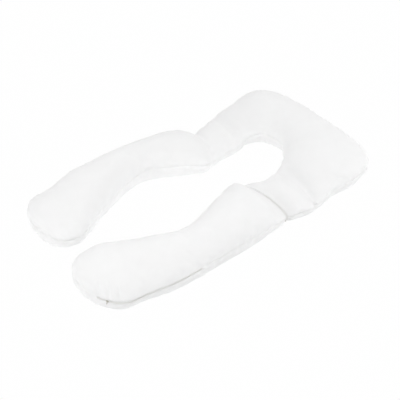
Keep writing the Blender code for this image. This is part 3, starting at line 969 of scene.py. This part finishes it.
def slider_body():
    """The body, its nose to +X: an inverted channel that widens from its tail to its nose."""
    low, high = SLIDER_ROOF
    stations = []
    for share, full in SLIDER_STATIONS:
        width = SLIDER_TAIL + (SLIDER_NOSE - SLIDER_TAIL) * share**SLIDER_FLARE
        outer, roof = width / 2 * (0.75 + 0.25 * full), low + (high - low) * full
        inner, shoulder = outer - SLIDER_FLANGE, (high - low) * SLIDER_SHOULDER
        section = [(-outer, FLANGE_FOOT), (-outer, roof - shoulder), (-outer + shoulder, roof)]
        section += [(-y, z) for y, z in section[::-1]]
        section += [(inner, FLANGE_FOOT), (inner, low), (-inner, low), (-inner, FLANGE_FOOT)]
        stations.append([((share - 0.5) * SLIDER_LENGTH, y, z) for y, z in section])
    points = np.array(stations)
    return points.reshape(-1, 3), sum(ringed(points), [])


def slider_bridge():
    """The bridge: a flat bar bent up from the back of the body and down again to its nose."""
    foot, top = SLIDER_ROOF[1] - BRIDGE_SUNK, SLIDER_ROOF[1] + BRIDGE_HEIGHT - BRIDGE_THICKNESS / 2
    rise = [foot, foot + BRIDGE_SHOULDERS[0], top - BRIDGE_SHOULDERS[1], top]
    path = [(x, 0, z) for x, z in zip(BRIDGE_BENDS, rise + rise[::-1])]
    y, z = BRIDGE_WIDTH / 2, BRIDGE_THICKNESS / 2
    return bar(path, (1e-4, 0.0, 1.0), [(y * across, z * up) for across, up in CHAMFERED])


def rounded_loop(x0, x1, half_width, steps=10):
    """A closed run of points: a slot with round ends from x0 to x1."""
    turn = np.linspace(-math.pi / 2, math.pi / 2, steps)
    right = np.stack([x1 - half_width + np.cos(turn) * half_width, np.sin(turn) * half_width], axis=1)
    left = np.stack([x0 + half_width - np.cos(turn) * half_width, -np.sin(turn) * half_width], axis=1)
    return np.concatenate([right, left])


def pull_object(name):
    """The pull: a stamped plate with a slot that the bridge passes through and a hole at its end."""
    curve = bpy.data.curves.new(name, "CURVE")
    curve.dimensions = "2D"
    curve.fill_mode = "BOTH"
    curve.extrude = PULL_THICKNESS / 2 - PULL_BEVEL
    curve.bevel_depth = PULL_BEVEL
    curve.bevel_resolution = 2
    curve.offset = -PULL_BEVEL
    start = PULL_LENGTH * PULL_START
    end = start + PULL_LENGTH
    for loop in (
        rounded_loop(start, end, PULL_WIDTH / 2, 14),
        rounded_loop(start + PULL_SLOT[0], start + PULL_SLOT[1], PULL_SLOT[2]),
        rounded_loop(end - PULL_HOLE[0], end - PULL_HOLE[1], PULL_HOLE[2]),
    ):
        spline = curve.splines.new("POLY")
        spline.points.add(len(loop) - 1)
        places = np.column_stack([loop, np.zeros(len(loop)), np.ones(len(loop))])
        spline.points.foreach_set("co", places.ravel())
        spline.use_cyclic_u = True
    drawn = placed(name + ".drawn", curve)
    bpy.context.view_layer.update()
    graph = bpy.context.evaluated_depsgraph_get()
    mesh = bpy.data.meshes.new_from_object(drawn.evaluated_get(graph))
    bpy.data.objects.remove(drawn)
    bpy.data.curves.remove(curve)
    return np.array([v.co for v in mesh.vertices]), [list(p.vertices) for p in mesh.polygons]


def zip_slider(name, run, node, hang):
    """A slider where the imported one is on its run, and its pull, turned this far from the run."""
    low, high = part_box(node)
    middle = np.array((low + high) / 2)
    nearest = np.argmin(np.linalg.norm(run.points - middle, axis=1))
    frames = frames_on(run, gone_along(run.points)[[nearest]])
    body = piece(name, [copies(slider_body(), frames), copies(slider_bridge(), frames)], NICKEL)
    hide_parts(node)
    points, faces = pull_object(name)
    turned = np.array(Matrix.Rotation(hang, 3, "Z"))
    points = points @ turned.T + (0, 0, SLIDER_ROOF[1] + PULL_THICKNESS / 2 + PULL_ABOVE)
    piece(name + "_pull", [copies((points, faces), frames)], NICKEL)


zip_slider("joining_zip_slider_body", joining_run, "joining_zip_slider", JOINING_PULL_HANG)


# ---------------- cover zip
# The same kind of zip, sewn flat into the leg's outer side seam, to take the cover off. Its slider
# stands closed at the leg's end, with the pull hanging down.

COVER_PULL_HANG = math.radians(75)

covered = (leg_slices.outer[:, 0] >= COVER_ZIP_START) & (leg_slices.outer[:, 0] <= COVER_ZIP_END)
floor_run = seam_run(leg_slices, leg_slices.outer, leg_slices.inner, ZIP_FLOOR_DEPTH, covered)
cover_run = Run(floor_run.points + floor_run.outs * (SEATING + COIL_THICKNESS / 2), floor_run.outs)
coil_zip("cover_zip", cover_run, "cover_zip")
zip_slider("cover_zip_slider_body", cover_run, "cover_zip_slider", COVER_PULL_HANG)


# ---------------- studio and camera
# A sheet of white acrylic lit from below, so that no shadow falls on it, in a ring of softboxes of
# which the front, left and back ones are the strongest. The lens looks down on the pillow from
# beyond the zip-off leg's end.

EYE_AZIMUTH = math.radians(-37.3)
EYE_ELEVATION = math.radians(42.4)
EYE_DISTANCE = 4.12
EYE_TARGET = Vector((-0.056, -0.058, 0.07))
SENSOR = 36.0
FOCAL_PIXELS = 957.2
IMAGE_WIDTH = 400
FLOOR_SHADE = "#EAEAEA"
FLOOR_GLOW = 0.31  # what it gives to the pillow, where the eye sees full white
FLOOR_REACH = 30.0
UNDER_PILLOW = 0.0005
SQUARE = [(-1, -1), (1, -1), (1, 1), (-1, 1)]
AIR_LIGHT = 0.02

floor_mesh = bpy.data.meshes.new("floor")
floor_mesh.from_pydata([(x * FLOOR_REACH, y * FLOOR_REACH, 0) for x, y in SQUARE], [], [(0, 1, 2, 3)])
floor = placed("floor", floor_mesh)
floor.location.z = -UNDER_PILLOW
paint = bpy.data.materials.new("backlit_white_acrylic")
paint.use_nodes = True
shader = paint.node_tree.nodes["Principled BSDF"]
grain = add_node(paint, "TexNoise", {"Scale": 3.0})
tone = add_node(paint, "MapRange", {"Value": grain.outputs["Fac"], "To Min": 0.995, "To Max": 1.0})
seen = add_node(paint, "LightPath")
glow = add_node(paint, "Emission", {"Color": linear("#FFFFFF"), "Strength": tone.outputs["Result"]})
feed(shader, {"Base Color": linear(FLOOR_SHADE), "Roughness": 1.0, "Specular IOR Level": 0.0})
feed(shader, {"Emission Color": linear("#FFFFFF"), "Emission Strength": FLOOR_GLOW})
white = {0: seen.outputs["Is Camera Ray"], 1: shader.outputs["BSDF"], 2: glow.outputs["Emission"]}
both = add_node(paint, "MixShader", white)
feed(paint.node_tree.nodes["Material Output"], {"Surface": both.outputs["Shader"]})
floor_mesh.materials.append(paint)

world = bpy.data.worlds.new("studio")
bpy.context.scene.world = world
world.use_nodes = True
ray = add_node(world, "LightPath")
level = add_node(world, "MapRange", {"Value": ray.outputs["Is Camera Ray"], "To Min": AIR_LIGHT})
air = {"Color": linear("#FFFFFF"), "Strength": level.outputs["Result"]}
feed(world.node_tree.nodes["Background"], air)

SOFTBOX_SIZE = 3.0
SOFTBOX_REACH = 4.0
PILLOW_MIDDLE = Vector((0.0, 0.0, 0.08))
SOFTBOXES = [  # name, azimuth, elevation and power
    ("front_high", 0, 55, 61.0),
    ("front_right_low", 45, 25, 40.0),
    ("front_right_high", 45, 55, 19.0),
    ("right_low", 90, 25, 37.0),
    ("back_right_low", 135, 25, 22.0),
    ("back_low", 180, 25, 51.0),
    ("left_low", 270, 25, 49.0),
    ("left_high", 270, 55, 58.0),
]


def seen_from(azimuth, elevation):
    """The direction from the pillow to an eye or a light there, an azimuth of 0 being on the -Y side."""
    level = math.cos(elevation)
    return Vector((math.sin(azimuth) * level, -math.cos(azimuth) * level, math.sin(elevation)))


for name, azimuth, elevation, power in SOFTBOXES:
    way = seen_from(math.radians(azimuth), math.radians(elevation))
    light = bpy.data.lights.new(name, "AREA")
    light.size = SOFTBOX_SIZE
    light.energy = power
    box = placed(name, light)
    box.location = PILLOW_MIDDLE + way * SOFTBOX_REACH
    box.rotation_euler = (-way).to_track_quat("-Z", "Y").to_euler()

back = seen_from(EYE_AZIMUTH, EYE_ELEVATION)
lens = bpy.data.cameras.new("eye")
lens.sensor_width = SENSOR
lens.lens = FOCAL_PIXELS / IMAGE_WIDTH * SENSOR
eye = placed("eye", lens)
eye.location = EYE_TARGET + back * EYE_DISTANCE
eye.rotation_euler = (-back).to_track_quat("-Z", "Y").to_euler()
bpy.context.scene.camera = eye
bpy.context.scene.view_settings.view_transform = "Standard"
